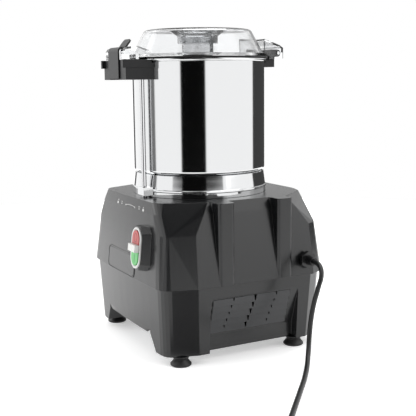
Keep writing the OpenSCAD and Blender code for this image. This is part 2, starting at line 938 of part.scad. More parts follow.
// Cord gland with its nut and a tapered sleeve
gland_hex = 22;
gland_nut_t = 6;
gland_body_r = 7.8;
gland_nose_r = 6;
gland_out = 20;
gland_in = 12;
gland_seat = 3.5;
side_x = between(part_w, top_w, (gland_z - part_z) / (top_z - part_z)) / 2;
gland_face_x = side_x + gland_seat;
module along_x(x) {
    translate([x, gland_y, gland_z])
        rotate([0, 90, 0])
            children();
}
module cord_gland() {
    color(c_dark)
        difference() {
            union() {
                along_x(gland_face_x)
                    cylinder(r = gland_hex / sqrt(3), h = gland_nut_t, $fn = 6);
                along_x(gland_face_x - gland_in)
                    cylinder(r = gland_body_r, h = gland_in, $fn = fn_small);
                along_x(gland_face_x)
                    cylinder(r1 = gland_body_r, r2 = gland_nose_r, h = gland_out, $fn = fn_small);
            }
            along_x(gland_face_x - gland_in - over)
                cylinder(r = cord_d / 2 + fit_gap, h = gland_in + gland_out - cord_d + over, $fn = fn_small);
            along_x(gland_face_x - gland_in - over)
                cylinder(r = cord_d / 2 + fit_gap, h = gland_in + gland_out + 2 * over, $fn = fn_small);
        }
}
module gland_nut() {
    color(c_dark)
        difference() {
            along_x(gland_face_x - gland_in)
                cylinder(r = gland_hex / sqrt(3), h = gland_nut_t / 2, $fn = 6);
            along_x(gland_face_x - gland_in - over)
                cylinder(r = gland_body_r + fit_gap, h = gland_nut_t + over, $fn = fn_small);
        }
}

// Route of the free cord: out of the gland, down, and along the floor
cord_route = [[161, 99, 134], [169, 99, 134], [176.2, 98.6, 133.2], [183, 97.3, 130.7], [188.8, 95.3, 126.7],
    [193.2, 92.7, 121.5], [196, 89.6, 115.4], [197, 86.4, 109], [197, 82, 96], [196.4, 78.2, 83], [196, 75.3, 69.5],
    [196, 73, 56], [197, 70.8, 43], [199.8, 67.8, 31], [204.8, 63.6, 20.6], [212.4, 57.4, 12.2], [222.8, 49.2, 6.6],
    [235.5, 39, 4], [250, 27.2, 3.5], [267, 13, 3.5], [284, -2, 3.5], [301, -17, 3.5], [318, -32, 3.5],
    [335, -47, 3.5], [352, -62, 3.5], [369, -77, 3.5], [386, -92, 3.5], [403, -107, 3.5]];
cord_sides = 8;
function unit(v) = v / norm(v);
function heading(p, i) =
    unit(i == 0 ? p[1] - p[0] : i == len(p) - 1 ? p[i] - p[i - 1] : p[i + 1] - p[i - 1]);
// Side vector of a ring: level, square to the heading
function side_of(t, before) = unit(before - t * (before * t));
function sides_along(p, i = 0, last = [0, 1, 0]) =
    i == len(p) ? [] :
    let (s = side_of(heading(p, i), last))
    concat([s], sides_along(p, i + 1, s));
// Rounded stretches between the route's own points
function smooth(p, n) = [for (i = [0:len(p) - 2], k = [0:n - 1])
    let (a = p[max(i - 1, 0)], b = p[i], c = p[i + 1], d = p[min(i + 2, len(p) - 1)], t = k / n)
    0.5 * (2 * b + (c - a) * t + (2 * a - 5 * b + 4 * c - d) * t * t
        + (3 * b - a - 3 * c + d) * t * t * t)];
module tube(p, r, sides) {
    s = sides_along(p);
    rings = [for (i = [0:len(p) - 1], k = [0:sides - 1])
        let (t = heading(p, i), up = cross(t, s[i]), a = 360 * (k + 0.5) / sides)
        p[i] + r * (cos(a) * s[i] + sin(a) * up)];
    skin = [for (i = [0:len(p) - 2], k = [0:sides - 1], half = [0, 1])
        let (a = i * sides + k, b = i * sides + (k + 1) % sides)
        half == 0 ? [a, b, b + sides] : [a, b + sides, a + sides]];
    first = [for (k = [sides - 2:-1:1]) [0, k + 1, k]];
    end = (len(p) - 1) * sides;
    last = [for (k = [1:sides - 2]) [end, end + k, end + k + 1]];
    polyhedron(points = rings, faces = concat(skin, first, last), convexity = 10);
}
module mains_cord() {
    color(c_dark)
        tube(concat(smooth(cord_route, 2), [cord_route[len(cord_route) - 1]]), cord_d / 2, cord_sides);
}

// Coil of the rest of the cord: two layers, spiralling in and out again
coil_turns = 5;
coil_mid = coil_turns / 2;
coil_in_r = 30;
coil_pitch = 8;
coil_rise = 8;
coil_soft = 0.12;
coil_tail = 24;
coil_rings = 24;
coil_sides = 6;
coil_end = cord_route[len(cord_route) - 1];
coil_way = unit(coil_end - cord_route[len(cord_route) - 2]);
function coil_r(t) = coil_in_r + coil_pitch * sqrt((t - coil_mid) * (t - coil_mid) + coil_soft * coil_soft);
function coil_z(t) = coil_rise * between(0, 1, min(1, max(0, (1 - cos(360 * min(0.5,
    max(0, t - coil_mid + 0.25)))) / 2)));
coil_start_angle = atan2(coil_way[1], coil_way[0]) - 90;
coil_lead = [coil_end[0] + coil_way[0] * cord_d, coil_end[1] + coil_way[1] * cord_d, coil_end[2]];
coil_centre = coil_lead - coil_r(0) * [cos(coil_start_angle), sin(coil_start_angle), 0];
function coil_point(t) =
    let (a = coil_start_angle + 360 * t)
    coil_centre + [coil_r(t) * cos(a), coil_r(t) * sin(a), coil_z(t)];
coil_stop_angle = coil_start_angle + 360 * coil_turns;
coil_out = [-sin(coil_stop_angle), cos(coil_stop_angle), 0];
coil_path = concat([coil_end],
    [for (i = [0:coil_turns * coil_rings]) coil_point(i / coil_rings)],
    [coil_point(coil_turns) + coil_out * coil_tail]);
coil_gap = min([for (i = [0:coil_turns * coil_rings], j = [i + coil_rings / 2:coil_turns * coil_rings])
    norm(coil_point(i / coil_rings) - coil_point(j / coil_rings))]) - cord_d;
echo(least_gap_of_the_coil = coil_gap);
module cord_coil() {
    color(c_dark)
        tube(coil_path, cord_d / 2, coil_sides);
}

// Moulded three-pin plug that lies flat beside the coil
plug_l = 38;
plug_w = 44;
plug_relief_l = 26;
plug_relief_r = 5.5;
plug_front_r = 9;
plug_pin_l = 18;
plug_start = coil_path[len(coil_path) - 1];
plug_h = 2 * plug_start[2];
module in_plug_frame() {
    translate([plug_start[0], plug_start[1], 0])
        rotate([0, 0, coil_stop_angle + 90])
            children();
}
module mains_plug() {
    color(c_dark)
        in_plug_frame()
        {
            translate([fit_gap, 0, plug_start[2]])
                rotate([0, 90, 0])
                    cylinder(r1 = plug_relief_r, r2 = plug_relief_r + 2, h = plug_relief_l + over, $fn = fn_small);
            translate([plug_relief_l, 0, 0])
                linear_extrude(plug_h) {
                    translate([plug_front_r, -plug_w / 2])
                        square([plug_l - plug_front_r, plug_w]);
                    translate([0, plug_front_r - plug_w / 2])
                        square([plug_l, plug_w - 2 * plug_front_r]);
                    for (side = [-1, 1])
                        translate([plug_front_r, side * (plug_w / 2 - plug_front_r)])
                            circle(r = plug_front_r, $fn = fn_small);
                }
        }
}
pin_live_y = 8;
pin_up = 4;
pin_w = 6.3;
pin_t = 1.6;
module plug_pins() {
    color("gold")
        in_plug_frame()
            translate([plug_relief_l + plug_l, 0, plug_start[2]]) {
                for (side = [-1, 1])
                    translate([0, side * pin_live_y - pin_w / 2, pin_up - pin_t / 2])
                        cube([plug_pin_l, pin_w, pin_t]);
                translate([0, -pin_t / 2, -pin_up - pin_w / 2])
                    cube([plug_pin_l, pin_t, pin_w]);
            }
}

// Bowl: drawn wall with a rolled rim, floor and chimney
bowl_corner = 5;
corner_steps = 5;
chimney_t = 1.5;
chimney_lip = 1;
function arc_points(cx, cy, r, a0, a1, n) =
    [for (i = [0:n]) let (a = a0 + (a1 - a0) * i / n) [cx + r * cos(a), cy + r * sin(a)]];
rim_r = bowl_r + rim_roll - bowl_t;
module bowl() {
    color(c_steel)
        rotate_extrude($fn = fn_big) {
            polygon(concat(
                [[chimney_r - chimney_t, seam_z], [bowl_r - bowl_corner, seam_z]],
                arc_points(bowl_r - bowl_corner, seam_z + bowl_corner, bowl_corner, -90, 0, corner_steps),
                [[bowl_r, rim_z], [bowl_r - bowl_t, rim_z]],
                arc_points(bowl_r - bowl_corner, seam_z + bowl_corner + (bowl_floor_z - seam_z) - bowl_t,
                    bowl_corner - bowl_t, 0, -90, corner_steps),
                [[chimney_r, bowl_floor_z], [chimney_r, bowl_floor_z + chimney_h],
                    [chimney_r - chimney_t, bowl_floor_z + chimney_h]]));
            translate([rim_r, rim_z])
                circle(r = rim_roll, $fn = fn_small);
        }
}

// Skirt under the bowl, conical, with a bead and a foot edge
skirt_t = 1.4;
skirt_top_r = bowl_r - 1.5;
skirt_low_r = bowl_r + 1.5;
skirt_bead = 1;
bead_share = 0.28;
skirt_low_z = top_z + seat_gap;
skirt_bead_z = between(skirt_low_z, seam_z, bead_share);
skirt_weld = 3;
module bowl_skirt() {
    color(c_steel)
        rotate_extrude($fn = fn_big)
            polygon([[skirt_top_r - skirt_t, seam_z - skirt_weld], [skirt_top_r - 2 * skirt_t - skirt_weld, seam_z],
                [skirt_top_r - bowl_corner + skirt_t, seam_z], [skirt_top_r, seam_z - skirt_t],
                [skirt_low_r - skirt_bead / 2, skirt_bead_z + 2 * skirt_bead],
                [skirt_low_r + skirt_bead, skirt_bead_z + skirt_bead],
                [skirt_low_r + skirt_bead, skirt_bead_z - skirt_bead],
                [skirt_low_r, skirt_bead_z - 2 * skirt_bead],
                [skirt_low_r, skirt_low_z], [skirt_low_r - skirt_t, skirt_low_z],
                [skirt_low_r - skirt_t, skirt_bead_z]]);
}

// Latch bracket: a block that hugs the bowl, with two ears and a lever slot
ear_t = 5;
ear_reach = 4.7;
ear_low_z = bracket_top_z - 11.5;
bracket_step = 1.2;
bracket_step_z = bracket_top_z - 11;
slot_gap = 0.8;
pin_r = 2.5;
pivot_z = bracket_low_z + 6;
pivot_y = -bracket_front + 5;
barrel_r = 4.5;
pocket_r = rod_r + 2.7;
pocket_floor = 4;
module latch_bracket() {
    color(c_dark)
        difference() {
            union() {
                translate([-bracket_w / 2, -bracket_front, bracket_low_z])
                    cube([bracket_w, bracket_front - bowl_r / 2, bracket_step_z - bracket_low_z]);
                translate([-bracket_w / 2 - bracket_step, -bracket_front, bracket_step_z])
                    cube([bracket_w + 2 * bracket_step, bracket_front - bowl_r / 2, bracket_top_z - bracket_step_z]);
                for (side = [-1, 1])
                    translate([side * (bracket_w / 2 + bracket_step - ear_t / 2) - ear_t / 2,
                        -bracket_front - ear_reach, ear_low_z])
                        cube([ear_t, ear_reach + ear_t, bracket_top_z - ear_low_z]);
            }
            translate([0, 0, bracket_low_z - over])
                cylinder(r = bowl_r + fit_gap, h = rim_z - rim_roll - bracket_low_z + over, $fn = fn_big);
            translate([0, 0, rim_z - rim_roll - 2 * loose_gap])
                cylinder(r = rim_r + rim_roll + loose_gap, h = rim_roll * 4, $fn = fn_big);
            translate([-lever_w / 2 - slot_gap, -bracket_front - over, bracket_low_z - over])
                cube([lever_w + 2 * slot_gap, pivot_y + bracket_front + over + barrel_r + slot_gap,
                    pivot_z - bracket_low_z + barrel_r + slot_gap + over]);
            translate([-lever_w / 2 - slot_gap, -bracket_front - over, bracket_low_z - over])
                cube([lever_w + 2 * slot_gap, bracket_front - lug_front + over, bracket_top_z - bracket_low_z + 2 * over]);
            translate([-latch_pin_l / 2 - fit_gap, pivot_y, pivot_z])
                rotate([0, 90, 0])
                    cylinder(r = pin_r + fit_gap, h = latch_pin_l + 2 * fit_gap, $fn = fn_small);
            translate([rod_x, rod_y, bracket_low_z + pocket_floor])
                cylinder(r = pocket_r, h = bracket_top_z - bracket_low_z, $fn = fn_small);
            translate([rod_x, rod_y, bracket_low_z - over])
                cylinder(r = rod_r + fit_gap, h = pocket_floor + 2 * over, $fn = fn_small);
            at_front_rivets()
                cylinder(r = rivet_r + fit_gap, h = rivet_l, $fn = fn_small);
        }
}
latch_pin_l = bracket_w - 2 * ear_t;
module latch_pin() {
    color(c_steel)
        translate([-latch_pin_l / 2, pivot_y, pivot_z])
            rotate([0, 90, 0])
                cylinder(r = pin_r, h = latch_pin_l, $fn = fn_small);
}
// Rivets that hold the two brackets to the bowl wall, headed inside the bowl
rivet_r = 2;
rivet_l = 12;
rivet_head_r = 3.6;
rivet_head_t = 1;
rivet_z = bracket_low_z + 8;
rivet_turn = 14;
module at_front_rivets() {
    for (side = [-1, 1])
        rotate([0, 0, -90 + side * rivet_turn - 2])
            translate([bowl_r - bowl_t, 0, rivet_z])
                rotate([0, 90, 0])
                    children();
}

// Lever that turns on the pin, bends back between the prongs of the lid and ends in a thumb tab
lug_top_z = 442;
lug_front = bracket_front - 1;
lever_back = lug_front + loose_gap;
bend_r = 6;
strip_l = 18;
tab_w = 25;
tab_l = 14.5;
tab_t = 2.4;
tab_turn = 52;
tab_round = 5;
module lever_side() {
    face = -lever_back - lever_t;
    polygon(concat([[-lever_back, pivot_z + barrel_r / 2], [face, pivot_z + barrel_r / 2]],
        arc_points(face + bend_r, lug_top_z - bend_r, bend_r, 180, 90, corner_steps),
        [[face + strip_l, lug_top_z], [face + strip_l, lug_top_z - lever_t]],
        arc_points(face + bend_r, lug_top_z - bend_r, bend_r - lever_t, 90, 180, corner_steps)));
}
module latch_lever() {
    color(c_shell)
        difference() {
            union() {
                translate([-lever_w / 2, 0, 0])
                    rotate([90, 0, 90])
                        linear_extrude(lever_w)
                            lever_side();
                translate([0, strip_l - lever_back - lever_t - tab_t, lug_top_z - tab_t / 2])
                    rotate([tab_turn, 0, 0])
                        linear_extrude(tab_t) {
                            translate([-tab_w / 2, 0])
                                square([tab_w, tab_l - tab_round]);
                            translate([tab_round - tab_w / 2, 0])
                                square([tab_w - 2 * tab_round, tab_l]);
                            for (side = [-1, 1])
                                translate([side * (tab_w / 2 - tab_round), tab_l - tab_round])
                                    circle(r = tab_round, $fn = fn_small);
                        }
                translate([-lever_w / 2, pivot_y, pivot_z])
                    rotate([0, 90, 0])
                        cylinder(r = barrel_r, h = lever_w, $fn = fn_small);
                translate([-lever_w / 2, -lever_back - lever_t, pivot_z])
                    cube([lever_w, lever_back + lever_t + pivot_y, barrel_r]);
                translate([-lever_w / 2, -lever_back - lever_t, pivot_z - barrel_r])
                    cube([lever_w, lever_t, 2 * barrel_r]);
            }
            translate([-lever_w, pivot_y, pivot_z])
                rotate([0, 90, 0])
                    cylinder(r = pin_r + fit_gap, h = 2 * lever_w, $fn = fn_small);
        }
}

// Interlock rod with its collar, the spring under it and the guide at the skirt
rod_collar_r = pocket_r - loose_gap;
rod_collar_t = 3;
spring_room = 12;
collar_z = bracket_low_z + pocket_floor + spring_room;
module interlock_rod() {
    color(c_steel)
        translate([rod_x, rod_y, 0]) {
            translate([0, 0, rod_foot_z])
                cylinder(r = rod_r, h = bracket_top_z - rod_foot_z, $fn = fn_small);
            translate([0, 0, collar_z])
                cylinder(r = rod_collar_r, h = rod_collar_t, $fn = fn_small);
        }
}
spring_wire = 0.8;
spring_r = rod_r + spring_wire / 2 + 0.5;
spring_curls = 4;
spring_rings = 12;
module rod_spring() {
    low = bracket_low_z + pocket_floor + spring_wire / 2 + fit_gap;
    high = collar_z - spring_wire / 2 - fit_gap;
    color(c_steel)
        tube([for (i = [0:spring_curls * spring_rings])
            [rod_x + spring_r * cos(360 * i / spring_rings), rod_y + spring_r * sin(360 * i / spring_rings),
                between(low, high, i / (spring_curls * spring_rings))]], spring_wire / 2, 6);
}
guide_w = 22;
guide_h = 12;
guide_z = top_z + 3;
guide_front = 110;
module rod_guide() {
    color(c_steel)
        difference() {
            translate([rod_x - guide_w / 2, -guide_front, guide_z])
                cube([guide_w, guide_front - bowl_r / 2, guide_h]);
            translate([0, 0, guide_z - over])
                cylinder(r = skirt_low_r + skirt_bead + fit_gap, h = guide_h + 2 * over, $fn = fn_big);
            translate([rod_x, rod_y, guide_z - over])
                cylinder(r = rod_r + fit_gap, h = guide_h + 2 * over, $fn = fn_small);
        }
}

// Rear hinge: bracket on the bowl with a knuckle, and the pin through the lid's cheeks
hinge_w = 66;
hinge_y = 120;
hinge_z = 434;
hinge_low_z = 413;
hinge_top_z = 443;
knuckle_r = 5.5;
hinge_neck = 115;
hinge_front = 98;
module hinge_bracket() {
    color(c_shell)
        difference() {
            union() {
                translate([-hinge_w / 2, 0, 0])
                    rotate([90, 0, 90])
                        linear_extrude(hinge_w)
                            polygon([[bowl_r / 2, hinge_low_z], [hinge_neck, hinge_low_z], [hinge_neck, hinge_z],
                                [hinge_neck, hinge_z + knuckle_r], [hinge_neck - knuckle_r, hinge_z + knuckle_r],
                                [bowl_r + knuckle_r, rim_z], [bowl_r / 2, rim_z]]);
                translate([-hinge_w / 2, hinge_y, hinge_z])
                    rotate([0, 90, 0])
                        cylinder(r = knuckle_r, h = hinge_w, $fn = fn_small);
                translate([-hinge_w / 2, hinge_neck - knuckle_r, hinge_z - knuckle_r])
                    cube([hinge_w, hinge_y - hinge_neck + knuckle_r, 2 * knuckle_r]);
            }
            translate([0, 0, hinge_low_z - over])
                cylinder(r = bowl_r + fit_gap, h = rim_z - rim_roll - hinge_low_z + over, $fn = fn_big);
            translate([0, 0, rim_z - rim_roll - 2 * loose_gap])
                cylinder(r = rim_r + rim_roll + loose_gap, h = hinge_top_z, $fn = fn_big);
            translate([-hinge_w, hinge_y, hinge_z])
                rotate([0, 90, 0])
                    cylinder(r = pin_r + fit_gap, h = 2 * hinge_w, $fn = fn_small);
        }
}
cheek_t = 2.5;
cheek_gap = 0.6;
cheek_in = hinge_w / 2 + cheek_gap;
module hinge_pin() {
    color(c_steel)
        translate([-cheek_in - cheek_t - pin_r / 2, hinge_y, hinge_z])
            rotate([0, 90, 0])
                cylinder(r = pin_r, h = 2 * cheek_in + 2 * cheek_t + pin_r, $fn = fn_small);
}
module bracket_rivets() {
    color(c_steel)
        for (turn = [-90 - rivet_turn - 2, -90 + rivet_turn - 2])
            rotate([0, 0, turn])
                translate([bowl_r - bowl_t - rivet_head_t - 2 * fit_gap, 0, rivet_z])
                    rotate([0, 90, 0]) {
                        cylinder(r = rivet_head_r, h = rivet_head_t, $fn = fn_small);
                    }
}

// Lid: clear dome with a funnel and a collar, a front fork and rear cheeks
flange_low_z_lid = rim_z + rim_roll + 1.6;
flange_t_lid = 4.5;
dome_foot_r = bowl_r - 1;
dome_round = 7;
funnel_drop = 8;
collar_drop = 22;
lug_wall = 2.5;
lug_w = 74;
fork_gap = 1.5;
fork_in = lever_w / 2 + fork_gap;
lug_low_z = bracket_top_z + 0.5;
lug_root_y = 96;
cheek_top_z = 455;
cheek_low_z = 425;
cheek_front_y = 96;
cheek_step_y = 104;
cheek_end_y = hinge_y + 9;
module dome_profile() {
    foot = flange_low_z_lid + flange_t_lid;
    polygon(concat(
        [[dome_foot_r - lid_t, flange_low_z_lid], [flange_r, flange_low_z_lid], [flange_r, foot],
            [dome_foot_r, foot]],
        arc_points(lid_top_r - dome_round / 2, lid_top_z - dome_round, dome_round, 20, 90, corner_steps),
        [[funnel_r, lid_top_z], [feed_r + lid_t, lid_top_z - funnel_drop + 2], [feed_r + lid_t / 2, lid_top_z - funnel_drop],
            [feed_r, lid_top_z - funnel_drop], [feed_r, lid_top_z - collar_drop],
            [feed_r + lid_t, lid_top_z - collar_drop], [feed_r + lid_t, lid_top_z - funnel_drop - lid_t],
            [funnel_r + lid_t / 2, lid_top_z - lid_t]],
        arc_points(lid_top_r - dome_round / 2, lid_top_z - dome_round, dome_round - lid_t, 90, 20, corner_steps)));
}
module fork_side() {
    polygon([[-lug_root_y, lug_low_z + 8], [-bracket_front + 22, lug_low_z + 8], [-bracket_front + 22, lug_low_z],
        [-lug_front, lug_low_z], [-lug_front, lug_top_z - 6],
        [-lug_front + 3, lug_top_z - 1.5], [-lug_front + 9, lug_top_z], [-lug_front + 22, lug_top_z],
        [-lug_root_y, lug_top_z - 5]]);
}
module cheek_side() {
    polygon([[cheek_front_y, flange_low_z_lid + flange_t_lid], [cheek_front_y, cheek_top_z], [cheek_end_y - 6, hinge_z + 12],
        [cheek_end_y, hinge_z + 8], [cheek_end_y, hinge_z - 8], [cheek_end_y - 6, cheek_low_z],
        [cheek_step_y, cheek_low_z], [cheek_step_y, flange_low_z_lid + flange_t_lid]]);
}
module hood_side() {
    polygon([[cheek_front_y, cheek_top_z - lug_wall], [cheek_front_y, cheek_top_z], [cheek_end_y - 6, hinge_z + 12],
        [cheek_end_y, hinge_z + 8], [cheek_end_y, hinge_z + 1], [cheek_end_y - lug_wall, hinge_z + 1],
        [cheek_end_y - lug_wall, hinge_z + 7], [cheek_end_y - 6 - lug_wall / 2, hinge_z + 12 - lug_wall]]);
}
module lid_dome() {
    color(c_clear)
        difference() {
            union() {
                rotate_extrude($fn = fn_big)
                    dome_profile();
                for (side = [0, 1])
                    mirror([side, 0, 0])
                        translate([fork_in, 0, 0])
                            rotate([90, 0, 90])
                                linear_extrude(lug_w / 2 - fork_in)
                                    fork_side();
                for (side = [0, 1])
                    mirror([side, 0, 0])
                        translate([cheek_in, 0, 0])
                            rotate([90, 0, 90])
                                linear_extrude(cheek_t)
                                    cheek_side();
                translate([-cheek_in - cheek_t, 0, 0])
                    rotate([90, 0, 90])
                        linear_extrude(2 * cheek_in + 2 * cheek_t)
                            hood_side();
            }
            // Room inside the dome and over the rim
            rotate_extrude($fn = fn_big)
                polygon([[feed_r + lid_t + over / 2, flange_low_z_lid - over], [dome_foot_r - lid_t, flange_low_z_lid - over],
                    [dome_foot_r - lid_t, flange_low_z_lid + over],
                    [lid_top_r - dome_round / 2 + (dome_round - lid_t) * cos(20),
                        lid_top_z - dome_round + (dome_round - lid_t) * sin(20)],
                    [lid_top_r - dome_round / 2, lid_top_z - lid_t - over], [funnel_r + lid_t, lid_top_z - lid_t - over],
                    [feed_r + lid_t + over / 2, lid_top_z - funnel_drop - 2 * lid_t]]);
            translate([-hinge_w, hinge_y, hinge_z])
                rotate([0, 90, 0])
                    cylinder(r = pin_r + fit_gap, h = 2 * hinge_w, $fn = fn_small);
        }
}
gasket_lip = 7;
gasket_t = 1.8;
gasket_press = 0.2;
module lid_gasket() {
    color(c_dark)
        rotate_extrude($fn = fn_big)
            polygon([[bowl_r - bowl_t - gasket_t - 1, flange_low_z_lid], [flange_r - 1, flange_low_z_lid],
                [flange_r - 1, rim_z + rim_roll + seat_gap], [bowl_r - bowl_t - 1, rim_z + rim_roll + seat_gap],
                [bowl_r - bowl_t - 1, rim_z - gasket_lip], [bowl_r - bowl_t - gasket_t - 1, rim_z - gasket_lip]]);
}

// Filler cap: a stepped cup that hangs in the collar by its flange
cap_wall = 2.2;
cap_flange_r = feed_r + 2.5;
cap_step_z = lid_top_z - 20;
cap_low_z = lid_top_z - 38;
cap_low_r = feed_r - 4;
cap_round = 4;
module filler_cap() {
    top = lid_top_z - funnel_drop + seat_gap;
    color(c_clear)
        rotate_extrude($fn = fn_big)
            polygon(concat(
                [[0, cap_low_z]],
                arc_points(cap_low_r - cap_round, cap_low_z + cap_round, cap_round, -90, 0, corner_steps),
                [[cap_low_r, cap_step_z], [feed_r - 2 * seat_gap, cap_step_z], [feed_r - 2 * seat_gap, top],
                    [feed_r + 1, top], [feed_r + 1, top + cap_wall],
                    [feed_r - 2 * seat_gap - cap_wall, top + cap_wall],
                    [feed_r - 2 * seat_gap - cap_wall, cap_step_z + cap_wall], [cap_low_r - cap_wall, cap_step_z + cap_wall],
                    [cap_low_r - cap_wall, cap_low_z + cap_wall], [0, cap_low_z + cap_wall]]));
}

// Knife: hub over the chimney, two crossed blades, spacer and knob
hub_bore = chimney_r + 1;
hub_low_z = bowl_floor_z + 3;
hub_top_z = drive_z + drive_h + 3;
hub_neck_r = hub_bore + 1.8;
blade_low_z = hub_low_z + 2;
blade_high_z = hub_low_z + 36;
module knife_hub() {
    color(c_steel)
        difference() {
            union() {
                translate([0, 0, hub_low_z])
                    cylinder(r = hub_r, h = blade_low_z - hub_low_z, $fn = fn_mid);
                translate([0, 0, hub_low_z])
                    cylinder(r = hub_neck_r, h = hub_top_z - hub_low_z, $fn = fn_mid);
            }
            translate([0, 0, hub_low_z - over])
                cylinder(r = hub_bore, h = bowl_floor_z + chimney_h + 2 - hub_low_z + over, $fn = fn_mid);
            translate([0, 0, hub_low_z])
                cylinder(r = shaft_r + fit_gap, h = drive_z - hub_low_z + fit_gap, $fn = fn_mid);
            translate([0, 0, drive_z - over])
                linear_extrude(drive_h + over + fit_gap)
                    drive_plan(fit_gap);
        }
}
// One arm: the crescent between two arcs, cut off at the swept radius
blade_mid_share = 0.49;
blade_edge_share = 0.62;
blade_edge_drop_share = 0.23;
blade_back_share = 0.645;
blade_back_drop_share = 0.42;
module blade_arm() {
    intersection() {
        circle(r = blade_r, $fn = fn_big);
        difference() {
            translate([blade_r * blade_mid_share, -blade_r * blade_edge_drop_share])
                circle(r = blade_r * blade_edge_share, $fn = fn_big);
            translate([blade_r * blade_mid_share, -blade_r * blade_back_drop_share])
                circle(r = blade_r * blade_back_share, $fn = fn_big);
        }
    }
}
module blade_plan() {
    difference() {
        union() {
            for (turn = [0, 180])
                rotate([0, 0, turn])
                    blade_arm();
            circle(r = hub_r, $fn = fn_mid);
        }
        circle(r = hub_neck_r + fit_gap, $fn = fn_mid);
    }
}
module lower_blade() {
    color(c_steel)
        translate([0, 0, blade_low_z])
            linear_extrude(blade_t)
                blade_plan();
}
module upper_blade() {
    color(c_steel)
        translate([0, 0, blade_high_z])
            rotate([0, 0, 90])
                linear_extrude(blade_t)
                    blade_plan();
}
module blade_spacer() {
    color(c_alu)
        ring(hub_neck_r + fit_gap, hub_r, blade_low_z + blade_t, blade_high_z - blade_low_z - blade_t, fn_mid);
}
knob_h = 20;
knob_top_r = 17;
module hub_knob() {
    low = blade_high_z + blade_t;
    color(c_dark)
        rotate_extrude($fn = fn_mid)
            polygon([[hub_neck_r + fit_gap, low], [hub_r, low], [hub_r, hub_top_z], [knob_top_r, hub_top_z + knob_h],
                [0, hub_top_z + knob_h], [0, hub_top_z + fit_gap], [hub_neck_r + fit_gap, hub_top_z + fit_gap]]);
}

upper_housing();
lower_housing();
base_plate();
vent_panel_right();
vent_panel_left();
foot_front_left();
foot_front_right();
foot_rear_left();
foot_rear_right();
foot_screws();
bowl_seat();
shaft_seal();
motor_flange();
flange_screws();
motor_can();
stator_core();
stator_windings();
lower_end_bell();
tie_rods();
upper_bearing();
lower_bearing();
motor_shaft();
rotor_core();
cooling_fan();
run_capacitor();
control_box();
microswitch();
switch_block();
switch_bezel();
pilot_lamp();
stop_button();
start_button();
cord_gland();
gland_nut();
mains_cord();
cord_coil();
mains_plug();
plug_pins();
bowl();
bowl_skirt();
latch_bracket();
latch_pin();
rod_guide();
hinge_bracket();
hinge_pin();
bracket_rivets();
interlock_rod();
rod_spring();
latch_lever();
lid_dome();
lid_gasket();
filler_cap();
knife_hub();
lower_blade();
upper_blade();
blade_spacer();
hub_knob();
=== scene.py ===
import bpy
import bmesh
import json
import math
from mathutils import Vector, Matrix


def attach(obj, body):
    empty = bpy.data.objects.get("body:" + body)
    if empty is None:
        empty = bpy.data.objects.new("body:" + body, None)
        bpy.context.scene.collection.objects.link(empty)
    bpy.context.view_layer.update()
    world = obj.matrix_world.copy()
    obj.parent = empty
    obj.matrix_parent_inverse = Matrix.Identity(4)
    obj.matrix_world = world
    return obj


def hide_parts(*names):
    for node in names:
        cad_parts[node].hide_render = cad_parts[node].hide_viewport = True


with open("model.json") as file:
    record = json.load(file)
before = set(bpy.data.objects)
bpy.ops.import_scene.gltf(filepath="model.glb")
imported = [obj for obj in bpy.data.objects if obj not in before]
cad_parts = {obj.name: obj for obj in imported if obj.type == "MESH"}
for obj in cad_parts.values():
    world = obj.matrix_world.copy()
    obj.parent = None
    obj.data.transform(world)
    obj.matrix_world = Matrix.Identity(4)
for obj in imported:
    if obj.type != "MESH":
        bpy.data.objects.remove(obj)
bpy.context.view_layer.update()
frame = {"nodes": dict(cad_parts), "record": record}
scene = bpy.context.scene
NODE = frame["nodes"]

# ---------------------------------------------------------------- camera
# fitted to the photograph's outline; the focal length is in pixels of its 416
SENSOR = 36.0
FOCAL_PX, FRAME_PX = 810.72, 416
CAM_RIGHT = (0.46465, 0.88542, -0.01149)
CAM_UP = (-0.13201, 0.08210, 0.98784)
CAM_BACK = (0.87560, -0.45748, 0.15504)
CAM_AT = (1.10723, -0.56416, 0.39328)

cam_data = bpy.data.cameras.new("camera")
cam_data.sensor_width = SENSOR
cam_data.lens = FOCAL_PX / FRAME_PX * SENSOR
cam_data.clip_start = 0.05
cam_data.clip_end = 30.0
cam = bpy.data.objects.new("camera", cam_data)
scene.collection.objects.link(cam)
cam.matrix_world = Matrix(list(zip(CAM_RIGHT, CAM_UP, CAM_BACK, CAM_AT)) + [(0, 0, 0, 1)])
scene.camera = cam

# ---------------------------------------------------------------- cord
CORD_D = 0.007
# the route of part.scad in millimetres, from the gland's face to the coil
ROUTE = [
    (161, 99, 134), (169, 99, 134), (176.2, 98.6, 133.2), (183, 97.3, 130.7),
    (188.8, 95.3, 126.7), (193.2, 92.7, 121.5), (196, 89.6, 115.4), (197, 86.4, 109),
    (197, 82, 96), (196.4, 78.2, 83), (196, 75.3, 69.5), (196, 73, 56), (197, 70.8, 43),
    (199.8, 67.8, 31), (204.8, 63.6, 20.6), (212.4, 57.4, 12.2), (222.8, 49.2, 6.6),
    (235.5, 39, 4), (250, 27.2, 3.5), (267, 13, 3.5), (284, -2, 3.5), (301, -17, 3.5),
    (318, -32, 3.5), (335, -47, 3.5), (352, -62, 3.5), (369, -77, 3.5), (386, -92, 3.5),
    (403, -107, 3.5)]
ROUTE_STEPS = 4      # points between two of the route's
COIL_TURNS = 5
COIL_STEPS = 48      # points in a turn
COIL_IN = 0.030      # radius near the middle turn
COIL_PITCH = 0.008   # growth of the radius in a turn, to both sides of the middle turn
COIL_SOFT = 0.12     # turns over which the winding changes from inward to outward
COIL_RISE = 0.008    # height of the upper layer on the lower one
COIL_TAIL = 0.024    # straight end that goes into the plug


